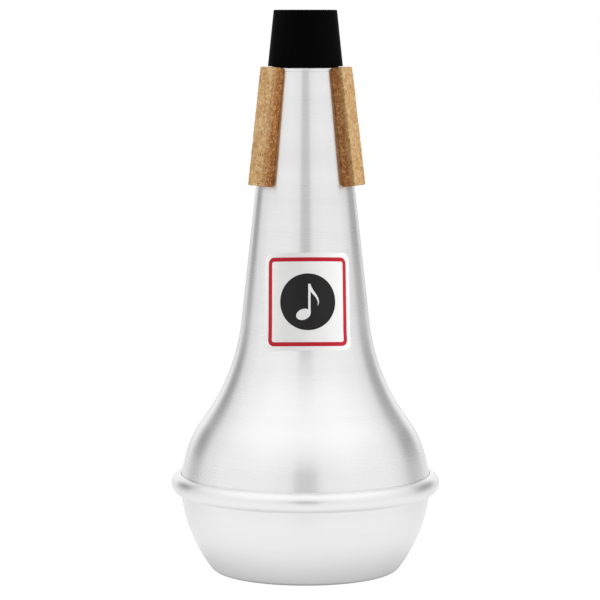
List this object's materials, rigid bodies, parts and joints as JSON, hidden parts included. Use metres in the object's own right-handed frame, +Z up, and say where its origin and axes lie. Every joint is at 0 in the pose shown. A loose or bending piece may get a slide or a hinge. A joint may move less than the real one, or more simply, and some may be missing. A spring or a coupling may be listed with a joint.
{
  "type": "flugelhorn straight mute",
  "caption": "Hollow straight mute for a flugelhorn: spun aluminium cone and bowl-shaped base joined by a rolled bead, with a black end tube and cork strips on the neck.",
  "frame": {"origin": "centre of the flat foot's underside, on the surface that the mute stands on", "axes": "+Z up along the mute's axis, from the foot to the open end tube; -Y is the pictured front and +X is to the right in the picture"},
  "size_m": [0.1008, 0.1008, 0.21],
  "materials": {
    "body_aluminium": "satin",
    "base_aluminium": "satin",
    "seam_compound": "matte",
    "tube_rubber": "satin",
    "cork": "matte",
    "label_vinyl": "satin"
  },
  "bodies": {
    "root": {"body_cone": "body_aluminium", "base_bowl": "base_aluminium", "seam_seal": "seam_compound", "end_tube": "tube_rubber", "cork_left": "cork", "cork_right": "cork", "cork_rear": "cork"}
  },
  "joints": []
}
